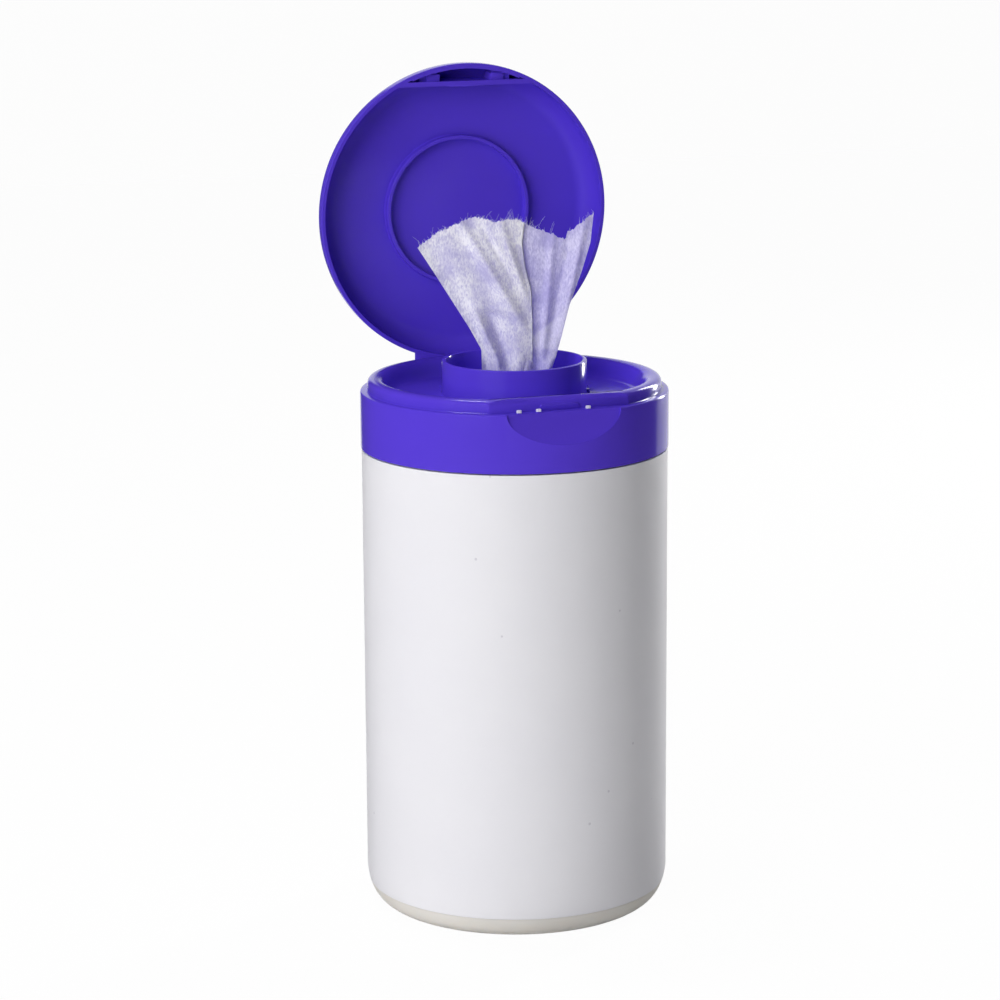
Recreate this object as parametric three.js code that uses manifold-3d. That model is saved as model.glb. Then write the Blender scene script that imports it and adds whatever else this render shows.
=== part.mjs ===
// Wipes canister with a flip-top closure, standing on its base, lid open.
// Millimetres, +Z up. The origin is the middle of the base, the thumb pocket faces -Y.

import * as THREE from 'three';
import { ConvexGeometry } from 'three/addons/geometries/ConvexGeometry.js';
import { mergeVertices } from 'three/addons/utils/BufferGeometryUtils.js';
import Module from 'manifold-3d';

const wasm = await Module();
wasm.setup();

// Finish of the model
const roundSegments = 60;
const cornerSteps = 5;
const gap = 0.3;
const weldTolerance = 1e-4;
const overlap = 0.4;
const reach = 80;

// Canister
const bodyRadius = 54.7;
const canisterWall = 1.5;
const baseThickness = 1.6;
const footSetback = 8.1;
const footRadius = bodyRadius - footSetback;
const cornerHeight = 12;
const cornerFullness = 0.85;
const cornerToe = 1.5;
const shoulderHeight = 167.6;
const shoulderDrop = 0.3;
const shoulderRadius = bodyRadius - shoulderDrop;
const neckSetback = 2.1;
const neckRadius = bodyRadius - neckSetback;
const neckWall = 1.4;
const neckLength = 8.9;
const neckHeight = shoulderHeight + neckLength;
const neckBeadRise = 5.5;
const neckBeadHeight = shoulderHeight + neckBeadRise;
const beadHalfHeight = 1.1;
const beadLand = 0.5;
const neckBeadProud = 0.45;

// Label sleeve
const labelThickness = 0.5;
const labelBottom = 8;
const labelTopSetback = 1.4;
const labelTop = shoulderHeight - labelTopSetback;

// Roll of wipes
const rollClearance = 2.9;
const rollRadius = bodyRadius - labelThickness - gap - canisterWall - rollClearance;
const rollCoreRadius = 14;
const rollHeight = 156;
const rollToe = [5.5, 2.1];
const rollToeHeight = 5.6;

// Closure: skirt, rim, deck and collar
const skirtProud = 0.3;
const skirtRadius = bodyRadius + skirtProud;
const plasticWall = 1.6;
const deckThickness = 1.5;
const skirtGap = 0.4;
const ledgeRise = 20.9;
const ledgeHeight = shoulderHeight + ledgeRise;
const skirtBeadRise = 2.8;
const skirtBeadHeight = shoulderHeight + skirtBeadRise;
const skirtBeadProud = 0.65;
const rimSetback = 2.5;
const rimRadius = skirtRadius - rimSetback;
const rimHeight = 4.5;
const rimWidth = 9.9;
const rimFoot = [1.6, 0.9];
const rimHollowShoulder = 0.5;
const deckDrop = 1.8;
const collarRadius = 25.83;
const collarHeight = 12.1;
const collarFoot = 0.7;
const plugWall = 1.3;
const plugClearance = 0.4;
const plugLength = 2.5;
const stopThickness = 1.5;

// Closure: front wall, catch, thumb pocket and torn tamper bridges
const frontWallSetback = 9;
const frontWallY = frontWallSetback - skirtRadius;
const catchHalfTop = 6.6;
const catchHalfFoot = 8.3;
const catchHeight = 2.2;
const catchProud = 0.5;
const pocketHalfWidth = 20.8;
const pocketHeight = 10.8;
const pocketTopDepth = 4.9;
const pocketTopY = pocketTopDepth - skirtRadius;
const pocketBellyDepth = 4.3;
const pocketBellyY = pocketBellyDepth - skirtRadius;
const pocketBellyDrop = 4.5;
const pocketToeDepth = 0.25;
const stubSize = [1.7, 1.1, 1.3];
const stubSetback = 5.6;
const stubY = stubSetback - skirtRadius;
const stubPlaces = [-15.9, -8.8, 9.3];

// Closure: orifice in the deck
const orificeRadius = 5.5;
const slitLength = 26;
const slitWidth = 1;
const slitCount = 3;

// Lid, in its closed place
const lidRadius = skirtRadius;
const lidWall = 1.5;
const lidHeight = 12.8;
const lidCrown = 1;
const lidStraight = 2.5;
const lidCorner = 8.5;
const sealWall = 1.4;
const sealDepth = 3.8;
const sealClearance = 0.37;
const chordSetback = 8.1;
const chordInnerY = chordSetback - lidRadius;
const chordWall = 1.7;
const lipThickness = 1.9;
const lipHalfWidth = 20.5;
const blockFrom = 10.4;
const blockTo = 17.3;
const blockRecess = 2.2;
const tabFrom = 9.8;
const tabWidth = 5;
const tabDepth = 2.5;
const tabRecess = 1.4;
const latchBeadHalfWidth = 6.7;
const latchBeadProud = 0.3;
const latchBeadHeight = 0.8;

// Hinge
const hingeProud = 1;
const hingeY = skirtRadius + hingeProud;
const hingeRise = 0.7;
const hingeHeight = ledgeHeight + hingeRise;
const openAngle = 87.2;
const plateHalfWidth = 19;
const plateThickness = 1.2;
const plateSetback = 0.6;
const strapThickness = 0.4;

// Pulled wipe, which fans out of the orifice in a plane turned from the X axis
const wipeTurn = -19.3;
const wipeThickness = 0.8;
const wipeStrandLength = 36.7;
const wipeSideSteps = 26;
const wipeRows = 16;
const wipeStandUp = 62.3;
const wipePleats = 2.5;
const wipePleatDepth = 2.6;
const tornCornerFrom = 0.35;
const tornCornerDrop = 16.5;
const tornNotchAt = 0.62;
const tornNotchWidth = 0.16;
const tornNotchDrop = 6.3;

const lidRimZ = ledgeHeight + gap;
const deckHeight = ledgeHeight - deckDrop;
const deckUnderside = deckHeight - deckThickness;
const rimTop = ledgeHeight + rimHeight;
const skirtBottom = shoulderHeight + skirtGap;
const skirtInner = skirtRadius - plasticWall;
const seatHeight = neckHeight + gap;
const plugRadius = neckRadius - neckWall - plugClearance;
const wipeStrandRadius = orificeRadius - gap;
const wipeStrandBottom = deckHeight - wipeStrandLength;
const wipeTop = deckHeight + wipeStandUp;
const wipeOpensAt = deckHeight + 1;

// A closed three.js shape as a solid that can be joined and cut, faces outward.
function solid(geometry) {
  const bare = geometry.index ? geometry.clone() : geometry;
  bare.deleteAttribute('normal');
  bare.deleteAttribute('uv');
  const merged = mergeVertices(bare, weldTolerance);
  const place = merged.attributes.position;
  const index = merged.index.array;
  const triangles = [];
  const a = new THREE.Vector3();
  const b = new THREE.Vector3();
  const c = new THREE.Vector3();
  let volume = 0;
  for (let i = 0; i < index.length; i += 3) {
    const [p, q, r] = [index[i], index[i + 1], index[i + 2]];
    if (p === q || q === r || r === p) continue;
    triangles.push(p, q, r);
    a.fromBufferAttribute(place, p);
    b.fromBufferAttribute(place, q);
    c.fromBufferAttribute(place, r);
    volume += a.dot(b.cross(c));
  }
  if (volume < 0) triangles.reverse();
  return new wasm.Manifold(new wasm.Mesh({
    numProp: 3,
    vertProperties: new Float32Array(place.array),
    triVerts: new Uint32Array(triangles),
  }));
}

// A profile of [radius, height] points turned about the Z axis.
function turned(profile) {
  const points = profile.map(([r, z]) => new THREE.Vector2(r, z));
  return solid(new THREE.LatheGeometry(points, roundSegments).rotateX(Math.PI / 2));
}

// A ring or disc whose profile closes on itself.
function ring(profile) {
  return turned([...profile, profile[0]]);
}

function block(x0, x1, y0, y1, z0, z1) {
  const box = new THREE.BoxGeometry(x1 - x0, y1 - y0, z1 - z0);
  return solid(box.translate((x0 + x1) / 2, (y0 + y1) / 2, (z0 + z1) / 2));
}

// A [y, z] outline run along X, as far as halfLength to each side.
function barAlongX(outline, halfLength) {
  const shape = new THREE.Shape(outline.map(([y, z]) => new THREE.Vector2(y, z)));
  const bar = new THREE.ExtrudeGeometry(shape, { depth: 2 * halfLength, bevelEnabled: false });
  bar.applyMatrix4(new THREE.Matrix4().set(
    0, 0, 1, -halfLength,
    1, 0, 0, 0,
    0, 1, 0, 0,
    0, 0, 0, 1,
  ));
  return solid(bar);
}

function curvePoints(from, control, to, steps) {
  const curve = new THREE.QuadraticBezierCurve(
    new THREE.Vector2(...from), new THREE.Vector2(...control), new THREE.Vector2(...to));
  return curve.getPoints(steps).map((p) => [p.x, p.y]);
}

function quarterEllipse(centre, across, up, steps) {
  const points = [];
  for (let i = 0; i <= steps; i += 1) {
    const turn = (Math.PI / 2) * (i / steps);
    points.push([centre[0] + across * Math.cos(turn), centre[1] + up * Math.sin(turn)]);
  }
  return points;
}

function mesh(name, shape, color, roughness) {
  const { vertProperties, triVerts } = shape.getMesh();
  const geometry = new THREE.BufferGeometry();
  geometry.setAttribute('position', new THREE.BufferAttribute(new Float32Array(vertProperties), 3));
  geometry.setIndex(new THREE.BufferAttribute(new Uint32Array(triVerts), 1));
  geometry.computeVertexNormals();
  const material = new THREE.MeshStandardMaterial({ color, roughness, metalness: 0 });
  const made = new THREE.Mesh(geometry, material);
  made.name = name;
  return made;
}

// The bottle's outer corner, from the foot up to the full radius, drawn inset by a depth.
function bodyCorner(inset) {
  const toe = footRadius + cornerFullness * (bodyRadius - footRadius);
  return curvePoints([footRadius, 0], [toe, cornerToe], [bodyRadius, cornerHeight], 2 * cornerSteps)
    .map(([r, z]) => [r - inset, z]);
}

// The part of a profile between two heights, with points put in at both.
function between(profile, low, high) {
  const at = (z) => {
    for (let i = 1; i < profile.length; i += 1) {
      const [r0, z0] = profile[i - 1];
      const [r1, z1] = profile[i];
      if (z >= z0 && z <= z1) return [r0 + ((r1 - r0) * (z - z0)) / (z1 - z0), z];
    }
    return [profile[profile.length - 1][0], z];
  };
  return [at(low), ...profile.filter(([, z]) => z > low && z < high), at(high)];
}

const recessDepth = labelThickness + gap;
const recessBottom = labelBottom - gap;
const recessTop = labelTop + gap;

function canister() {
  const innerRadius = bodyRadius - recessDepth - canisterWall;
  const innerFoot = footRadius - canisterWall - overlap;
  const neckInner = neckRadius - neckWall;
  const innerCorner = curvePoints(
    [innerFoot, baseThickness], [innerRadius - canisterWall, 2 * baseThickness],
    [innerRadius, cornerHeight], cornerSteps);
  return turned([
    [0, 0],
    ...between(bodyCorner(0), 0, recessBottom),
    ...between(bodyCorner(recessDepth), recessBottom, recessTop),
    [shoulderRadius, recessTop],
    [shoulderRadius, shoulderHeight - shoulderDrop],
    [shoulderRadius - shoulderDrop, shoulderHeight],
    [neckRadius, shoulderHeight],
    [neckRadius, neckBeadHeight - beadHalfHeight],
    [neckRadius + neckBeadProud, neckBeadHeight - beadLand],
    [neckRadius + neckBeadProud, neckBeadHeight + beadLand],
    [neckRadius, neckBeadHeight + beadHalfHeight],
    [neckRadius, neckHeight],
    [neckInner, neckHeight],
    [neckInner, shoulderHeight - canisterWall],
    [innerRadius, recessTop - canisterWall],
    ...innerCorner.reverse(),
    [0, baseThickness],
  ]);
}

function labelSleeve() {
  const outside = between(bodyCorner(0), labelBottom, labelTop);
  const inside = between(bodyCorner(labelThickness), labelBottom, labelTop);
  return ring([...outside, ...inside.reverse()]);
}

function wipesRoll() {
  const bottom = baseThickness + gap;
  const top = bottom + rollHeight;
  return ring([
    [rollCoreRadius, bottom],
    [rollRadius - rollToe[0], bottom],
    [rollRadius - rollToe[1], bottom + rollToe[1]],
    [rollRadius, bottom + rollToeHeight],
    [rollRadius, top],
    [rollCoreRadius, top],
  ]);
}

// The rim's shape from its outer foot over the crest to the deck, as [inward, up] from the foot.
const rimCrest = [[0, 0], [0.1, 0.6], [0.9, 0.89], [2.3, 1], [4.1, 0.956], [5.7, 0.71], [7.1, 0.24]];

// The hollow under the rim, from the deck's underside up its slope, as [inward, share of its rise].
const rimHollow = [[8.4, 0], [6.9, 0.29], [4.4, 0.89], [3.2, 1]];
const hollowTop = rimTop - plasticWall;
const hollowRise = hollowTop - deckUnderside;

function rimTopLine(step) {
  const crest = rimCrest.map(([inward, up]) => [inward, ledgeHeight + up * rimHeight]);
  const fall = [
    [rimWidth - rimFoot[0], deckHeight + rimFoot[1]],
    [rimWidth, deckHeight],
  ];
  return [...crest, ...fall].map(([inward, z]) => step(inward, z));
}

function deckAndSkirt() {
  const collarInner = collarRadius - plasticWall;
  const rimInnerWall = rimRadius - plasticWall;
  const bead = skirtInner - skirtBeadProud;
  return ring([
    [skirtInner, skirtBottom],
    [skirtRadius, skirtBottom],
    [skirtRadius, ledgeHeight],
    ...rimTopLine((inward, z) => [rimRadius - inward, z]),
    [collarRadius + collarFoot, deckHeight],
    [collarRadius, deckHeight + collarFoot],
    [collarRadius, deckHeight + collarHeight],
    [collarInner, deckHeight + collarHeight],
    [collarInner, deckHeight],
    [orificeRadius, deckHeight],
    [orificeRadius, deckUnderside],
    ...rimHollow.map(([inward, up]) => [rimRadius - inward, deckUnderside + up * hollowRise]),
    [rimInnerWall - rimHollowShoulder, hollowTop],
    [rimInnerWall, hollowTop - rimHollowShoulder],
    [rimInnerWall, ledgeHeight - plasticWall],
    [skirtInner, ledgeHeight - plasticWall],
    [skirtInner, skirtBeadHeight + beadHalfHeight],
    [bead, skirtBeadHeight + beadLand],
    [bead, skirtBeadHeight - beadLand],
    [skirtInner, skirtBeadHeight - beadHalfHeight],
  ]);
}

// Ring under the rim that plugs the neck, with a stop that sits on the neck's top.
function plugRing() {
  const stopRadius = neckRadius - gap;
  const rootRadius = rimRadius - plasticWall + overlap;
  return ring([
    [plugRadius - plugWall, neckHeight - plugLength],
    [plugRadius, neckHeight - plugLength],
    [plugRadius, seatHeight],
    [stopRadius, seatHeight],
    [stopRadius, seatHeight + stopThickness],
    [plugRadius, seatHeight + stopThickness],
    [plugRadius, ledgeHeight - plasticWall],
    [rootRadius, ledgeHeight - plasticWall],
    [rootRadius, hollowTop],
    [plugRadius - plugWall, hollowTop + overlap],
  ]);
}

// Straight stretch of rim across the front, inside the round rim's outer envelope.
function frontRim() {
  const line = rimTopLine((inward, z) => [frontWallY + inward, z]);
  const foot = [[frontWallY + rimWidth, deckUnderside], [frontWallY, deckUnderside]];
  const bar = barAlongX([...line, ...foot], reach);
  const envelope = turned([
    [0, deckUnderside],
    [rimRadius, deckUnderside],
    ...rimTopLine((inward, z) => [rimRadius - inward, z]).slice(0, 4),
    [0, rimTop],
  ]);
  return bar.intersect(envelope);
}

function disc(radius, low, high) {
  return turned([[0, low], [radius, low], [radius, high], [0, high]]);
}

function frontLedge() {
  const plate = disc(skirtInner + overlap, ledgeHeight - plasticWall, ledgeHeight);
  return plate.intersect(block(-reach, reach, -reach, frontWallY + plasticWall, 0, ledgeHeight));
}

// The pocket's floor, seen from the side as [y, z]: steep under the ledge, then out to the skirt's face.
const pocketBottom = ledgeHeight - pocketHeight;

function pocketFloor(inward) {
  return curvePoints(
    [pocketTopY + inward, ledgeHeight],
    [pocketBellyY + inward, ledgeHeight - pocketBellyDrop],
    [-skirtRadius + pocketToeDepth + inward, pocketBottom],
    2 * cornerSteps);
}

function pocketBacking() {
  const slab = barAlongX([...pocketFloor(0), ...pocketFloor(plasticWall).reverse()],
    pocketHalfWidth + plasticWall);
  return slab.intersect(disc(skirtRadius - overlap, 0, ledgeHeight));
}

function pocketCut() {
  const oval = new THREE.Shape();
  oval.absellipse(0, ledgeHeight, pocketHalfWidth, pocketHeight, 0, 2 * Math.PI);
  const drum = new THREE.ExtrudeGeometry(oval, {
    depth: reach, bevelEnabled: false, curveSegments: roundSegments / 2,
  });
  const front = barAlongX([
    [pocketTopY, ledgeHeight + reach],
    ...pocketFloor(0),
    [-reach, pocketBottom],
    [-reach, ledgeHeight + reach],
  ], reach);
  return solid(drum.rotateX(Math.PI / 2)).intersect(front);
}

function frontCatch() {
  const foot = ledgeHeight;
  const top = ledgeHeight + catchHeight;
  const back = frontWallY + overlap;
  const corners = [];
  for (const side of [-1, 1]) {
    corners.push([side * catchHalfFoot, back, foot], [side * catchHalfFoot, frontWallY, foot]);
    corners.push([side * catchHalfTop, back, top], [side * catchHalfTop, frontWallY - catchProud, top]);
  }
  return solid(new ConvexGeometry(corners.map((c) => new THREE.Vector3(...c))));
}

function hingePlate(low) {
  const end = hingeY - plateSetback;
  const inner = Math.sqrt(skirtInner ** 2 - plateHalfWidth ** 2);
  return block(-plateHalfWidth, plateHalfWidth, inner, end, low, low + plateThickness);
}

function orificeSlit(turn) {
  const slit = new THREE.BoxGeometry(slitLength, slitWidth, deckThickness + 2 * overlap);
  return solid(slit.rotateZ(turn).translate(0, 0, deckHeight - deckThickness / 2));
}

function closure() {
  const frontAbove = block(-reach, reach, -reach, frontWallY, ledgeHeight, ledgeHeight + reach);
  const platesHole = disc(skirtInner - overlap, 0, ledgeHeight + reach);
  let body = deckAndSkirt().add(plugRing()).add(frontRim());
  body = body.subtract(frontAbove).add(frontLedge()).add(pocketBacking()).subtract(pocketCut());
  body = body.add(frontCatch()).add(hingePlate(ledgeHeight - plateThickness).subtract(platesHole));
  for (let i = 0; i < slitCount; i += 1) {
    body = body.subtract(orificeSlit((Math.PI / slitCount) * i));
  }
  for (const x of stubPlaces) {
    const [across, deep, tall] = stubSize;
    const foot = ledgeHeight - overlap;
    body = body.add(block(x - across / 2, x + across / 2, stubY - deep / 2, stubY + deep / 2,
      foot, ledgeHeight + tall));
  }
  return body;
}

function lidShell() {
  const top = lidRimZ + lidHeight;
  const centre = [lidRadius - lidCorner, lidRimZ + lidStraight];
  const cornerRise = lidHeight - lidCrown - lidStraight;
  const outer = quarterEllipse(centre, lidCorner, cornerRise, cornerSteps);
  const inner = quarterEllipse(centre, lidCorner - lidWall, cornerRise - lidWall, cornerSteps);
  return turned([
    [0, top - lidWall],
    ...inner.reverse(),
    [lidRadius - lidWall, lidRimZ],
    [lidRadius, lidRimZ],
    ...outer,
    [0, top],
  ]);
}

// Everything inside the lid's outer face, to bound the walls that stand in it.
function lidEnvelope() {
  const centre = [lidRadius - lidCorner, lidRimZ + lidStraight];
  const inset = lidWall / 2;
  return turned([
    [0, lidRimZ],
    [lidRadius - inset, lidRimZ],
    ...quarterEllipse(centre, lidCorner - inset, lidHeight - lidCrown - lidStraight - inset, cornerSteps),
    [0, lidRimZ + lidHeight - inset],
  ]);
}

function sealRing() {
  const inner = collarRadius + sealClearance;
  const under = lidRimZ + lidHeight - lidWall - lidCrown;
  return ring([
    [inner, under + lidCrown],
    [inner, under - sealDepth + lidCrown],
    [inner + sealWall, under - sealDepth + lidCrown],
    [inner + sealWall, under + lidCrown],
  ]);
}

function lidFront() {
  const top = lidRimZ + lidHeight;
  const envelope = lidEnvelope();
  const chordOuterY = chordInnerY - chordWall;
  const chord = block(-reach, reach, chordOuterY, chordInnerY, lidRimZ, top);
  const lipRing = ring([
    [lidRadius - lipThickness, lidRimZ],
    [lidRadius - overlap, lidRimZ],
    [lidRadius - overlap, top],
    [lidRadius - lipThickness, top],
  ]);
  const lip = lipRing.intersect(block(-lipHalfWidth, lipHalfWidth, -reach, chordInnerY, 0, top));
  let front = chord.add(lip);
  for (const side of [-1, 1]) {
    const across = [side * blockFrom, side * blockTo].sort((p, q) => p - q);
    const tab = [side * tabFrom, side * (tabFrom + tabWidth)].sort((p, q) => p - q);
    front = front.add(block(...across, -reach, chordOuterY + overlap, lidRimZ + blockRecess, top));
    front = front.add(block(...tab, chordOuterY - tabDepth, chordOuterY + overlap, lidRimZ + tabRecess, top));
  }
  const bead = block(-latchBeadHalfWidth, latchBeadHalfWidth, chordInnerY - overlap,
    chordInnerY + latchBeadProud, lidRimZ, lidRimZ + latchBeadHeight);
  return front.intersect(envelope).add(bead);
}

function lid() {
  const plateHole = disc(lidRadius - lidWall, 0, lidRimZ + reach);
  return lidShell().add(sealRing()).add(lidFront()).add(hingePlate(lidRimZ).subtract(plateHole));
}

// Thin strap between the two hinge plates, bent as it stands with the lid open.
function hingeStrap() {
  const near = hingeY - plateSetback + gap;
  const low = ledgeHeight - plateThickness / 2 - strapThickness;
  const high = hingeHeight + gap;
  const bend = hingeY - strapThickness / 2;
  return barAlongX([
    [near, low],
    [bend + strapThickness, low],
    [bend + strapThickness, high],
    [bend, high],
    [bend, low + strapThickness],
    [near, low + strapThickness],
  ], plateHalfWidth);
}

// Left and right edge of the open wipe, as [height above the deck, left, right].
const wipeFan = [[8.3, -11.5, 13], [15.3, -11.7, 15.6], [30.3, -20.2, 19.5], [43.3, -28.2, 24.1]];
const wipeTopEdge = [-39, 28];
const wipeEdges = [
  [wipeStrandBottom, -wipeStrandRadius, wipeStrandRadius],
  [wipeOpensAt, -wipeStrandRadius, wipeStrandRadius],
  ...wipeFan.map(([rise, left, right]) => [deckHeight + rise, left, right]),
  [wipeTop, ...wipeTopEdge],
];

function wipeEdgesAt(z) {
  for (let i = 1; i < wipeEdges.length; i += 1) {
    const [z0, l0, r0] = wipeEdges[i - 1];
    const [z1, l1, r1] = wipeEdges[i];
    if (z <= z1) {
      const t = (z - z0) / (z1 - z0);
      return [l0 + (l1 - l0) * t, r0 + (r1 - r0) * t];
    }
  }
  return wipeEdges[wipeEdges.length - 1].slice(1);
}

// How far the torn top edge stands below or above the wipe's top, across from -1 to 1.
function tornEdge(across) {
  const corner = tornCornerDrop * Math.max(0, -across - tornCornerFrom);
  const notch = tornNotchDrop * Math.exp(-(((across - tornNotchAt) / tornNotchWidth) ** 2));
  return -corner - notch;
}

function pulledWipe() {
  const heights = [];
  for (let i = 0; i <= wipeRows; i += 1) {
    heights.push(i / wipeRows);
  }
  const positions = [];
  const loop = 2 * wipeSideSteps;
  const span = wipeTop - wipeStrandBottom;
  for (const h of heights) {
    const level = wipeStrandBottom + span * h;
    const [left, right] = wipeEdgesAt(level);
    const middle = (left + right) / 2;
    const half = (right - left) / 2;
    const open = THREE.MathUtils.smoothstep(level, wipeOpensAt, deckHeight + collarHeight);
    for (let k = 0; k < loop; k += 1) {
      const turn = (2 * Math.PI * k) / loop;
      const across = -Math.cos(turn);
      const side = Math.sin(turn);
      const pleat = wipePleatDepth * Math.sin(across * wipePleats * Math.PI) * open;
      const depth = THREE.MathUtils.lerp(wipeStrandRadius, wipeThickness / 2, open);
      const drop = tornEdge(across) * THREE.MathUtils.smoothstep(h, 0.5, 1);
      const flat = THREE.MathUtils.lerp(side, Math.sign(side) * Math.min(1, 4 * Math.abs(side)), open);
      positions.push(middle + half * across, pleat + depth * flat, level + drop);
    }
  }
  const index = [];
  for (let i = 0; i < wipeRows; i += 1) {
    for (let k = 0; k < loop; k += 1) {
      const a = i * loop + k;
      const b = i * loop + ((k + 1) % loop);
      index.push(a, b, b + loop, a, b + loop, a + loop);
    }
  }
  for (const [row, flip] of [[0, true], [wipeRows, false]]) {
    for (let k = 0; k < wipeSideSteps; k += 1) {
      const near = row * loop + k;
      const nearNext = near + 1;
      const far = row * loop + ((loop - k) % loop);
      const farNext = row * loop + (loop - k - 1);
      const faces = [[near, nearNext, farNext], [near, farNext, far]];
      for (const [p, q, r] of faces) {
        if (p === r || p === q || q === r) continue;
        index.push(...(flip ? [p, r, q] : [p, q, r]));
      }
    }
  }
  const geometry = new THREE.BufferGeometry();
  geometry.setAttribute('position', new THREE.Float32BufferAttribute(positions, 3));
  geometry.setIndex(index);
  return solid(geometry.rotateZ(THREE.MathUtils.degToRad(wipeTurn)));
}

const violet = 0x4b33b8;
const white = 0xeae9f0;
const natural = 0xd8d4c8;
const wipeWhite = 0xe4e2ec;

const model = new THREE.Group();
model.add(mesh('canister', canister(), natural, 0.45));
model.add(mesh('label_sleeve', labelSleeve(), white, 0.5));
model.add(mesh('wipes_roll', wipesRoll(), wipeWhite, 0.95));
model.add(mesh('closure', closure(), violet, 0.3));
model.add(mesh('hinge_strap', hingeStrap(), violet, 0.3));
model.add(mesh('pulled_wipe', pulledWipe(), wipeWhite, 0.95));

const lidSwing = new THREE.Group();
lidSwing.position.set(0, hingeY, hingeHeight);
lidSwing.rotation.x = -THREE.MathUtils.degToRad(openAngle);
const lidMesh = mesh('lid', lid(), violet, 0.3);
lidMesh.position.set(0, -hingeY, -hingeHeight);
lidSwing.add(lidMesh);
model.add(lidSwing);

export default model;
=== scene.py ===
# Wipes canister with an open flip-top closure and one wipe pulled through its collar.
# Metres, +Z up. The origin is the middle of the canister's base, the thumb pocket faces -Y.

import math
import random

import bpy
from mathutils import Matrix, Vector


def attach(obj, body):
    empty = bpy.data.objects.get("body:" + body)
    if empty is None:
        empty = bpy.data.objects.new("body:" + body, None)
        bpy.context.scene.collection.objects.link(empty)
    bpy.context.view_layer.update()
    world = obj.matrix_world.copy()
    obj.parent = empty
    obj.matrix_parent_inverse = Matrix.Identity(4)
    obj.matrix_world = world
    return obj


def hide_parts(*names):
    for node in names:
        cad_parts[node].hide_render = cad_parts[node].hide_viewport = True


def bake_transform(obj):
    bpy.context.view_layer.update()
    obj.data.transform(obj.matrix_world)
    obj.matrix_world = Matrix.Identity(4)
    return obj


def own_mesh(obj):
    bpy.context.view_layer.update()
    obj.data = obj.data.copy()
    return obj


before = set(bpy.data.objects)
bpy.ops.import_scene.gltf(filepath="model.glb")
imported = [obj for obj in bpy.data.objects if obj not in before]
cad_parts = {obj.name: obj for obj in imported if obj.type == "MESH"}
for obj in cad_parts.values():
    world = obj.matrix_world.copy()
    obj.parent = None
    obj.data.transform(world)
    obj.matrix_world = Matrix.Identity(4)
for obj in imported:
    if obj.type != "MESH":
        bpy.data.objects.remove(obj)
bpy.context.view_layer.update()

# Sizes below are in millimetres, and MM turns one into metres
MM = 0.001
ROUND_STEPS = 180
SAME_POINT = 0.002
# Cutting tools reach this far, past every wall
FAR = 90.0

# Bottle and label
BODY_RADIUS = 54.7
BOTTLE_INNER = 52.4
FOOT_RADIUS = 46.6
FOOT_RISE = 12
BASE_RECESS = 0.6
BASE_INSIDE = 1.6
SHOULDER = 167.5
LABEL_RECESS = 0.6
LABEL_RECESS_FOOT = 7.9
LABEL_FOOT = 8
LABEL_THICKNESS = 0.5
NECK_RADIUS = 52.6
NECK_BEAD_RADIUS = 53.05
NECK_INNER = 51.2
NECK_TOP = 176.5

# Closure
LEDGE = 188.5
DECK = 186.7
DECK_UNDER = 185.2
RIM_TOP = 193.0
RIM_HOLLOW_TOP = 191.4
SKIRT_RADIUS = 55.0
SKIRT_BOTTOM = 168.0
SKIRT_INNER = 53.4
SKIRT_BEAD_RADIUS = 52.75
RIM_RADIUS = 52.5
COLLAR_RADIUS = 25.83
COLLAR_TOP = 198.8
COLLAR_EDGE = 0.4
ORIFICE_RADIUS = 5.5
FRONT_WALL = -46.0
PLASTIC = 1.6
PLUG_INNER = 49.5
PLUG_RADIUS = 50.8
PLUG_FOOT = 174
STOP_RADIUS = 52.3
STOP_FOOT = 176.8
STOP_TOP = 178.3
POCKET_HALF_WIDTH = 20.8
POCKET_DROP = 10.8
POCKET_TOP_Y = -50.1
POCKET_BELLY_Y = -50.7
POCKET_FOOT_Y = -54.75
CATCH_FOOT_HALF = 8.3
CATCH_TOP_HALF = 6.6
STUB_PLACES = (-15.9, -8.8, 9.3)
STUB_HALF_WIDTH = 0.85
SLIT_REACH = 13
SLIT_HALF_WIDTH = 0.5

# Lid in its closed place, and the hinge that opens it
LID_RADIUS = 55.0
LID_WALL = 1.5
LID_INNER = LID_RADIUS - LID_WALL
LID_CORNER = 8.5
LID_CROWN = 1
LID_RIM = 188.8
LID_TOP = 201.6
CHORD_Y = -46.9
CHORD_WALL = 1.7
LIP_HALF_WIDTH = 20.5
HINGE_Y = 56.0
HINGE_Z = 189.2
OPEN_DEGREES = 87.2
PLATE_HALF_WIDTH = 19.0
PLATE_THICKNESS = 1.2
PLATE_ROOT_Y = 49.5

# Camera, from the fit to the photograph: angles in radians, lengths in metres
CAMERA_AZIMUTH = math.radians(-19.3)
CAMERA_ELEVATION = 0.209
CAMERA_ROLL = -0.006
CAMERA_DISTANCE = 1.150
CAMERA_ASIDE = -0.005356
CAMERA_AIM_HEIGHT = 0.147572
CAMERA_LENS = 115.249


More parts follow.
